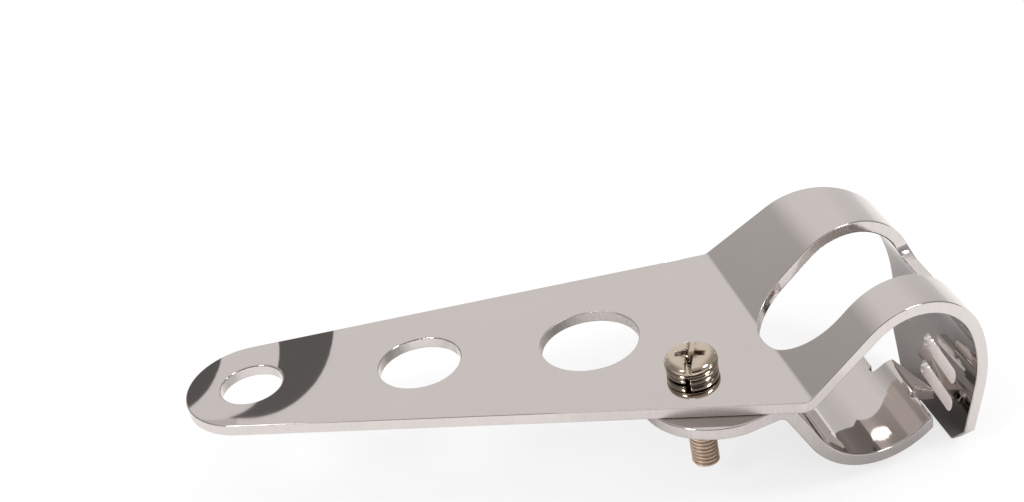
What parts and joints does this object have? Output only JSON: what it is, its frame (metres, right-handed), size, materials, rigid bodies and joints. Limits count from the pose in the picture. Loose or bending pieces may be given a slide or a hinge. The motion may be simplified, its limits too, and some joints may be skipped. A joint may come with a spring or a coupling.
{
  "type": "headlight mounting bracket",
  "caption": "Pierced tapered sheet-steel arm that holds a lamp at one end and clamps round a fork tube at the other, with a screwed clamp strap.",
  "frame": {"origin": "on the axis of the fork tube that the clamp end holds, level with the middle of the clamp", "axes": "+Y along the fork tube's axis, away from the near strap; +X from the lamp end to the fork; +Z square to the flat arm, out of the face that carries the screw's head"},
  "size_m": [0.1357, 0.0662, 0.0351],
  "materials": {
    "chromed_sheet": "bright chrome over pressed sheet",
    "chromed_strap": "bright chrome over pressed sheet",
    "plated_screw": "zinc plated, slightly warm",
    "plated_washer": "zinc plated, slightly warm"
  },
  "bodies": {
    "root": {"main_bracket": "chromed_sheet", "rear_clamp_strap": "chromed_strap", "clamp_screw": "plated_screw", "spring_washer": "plated_washer"}
  },
  "joints": []
}
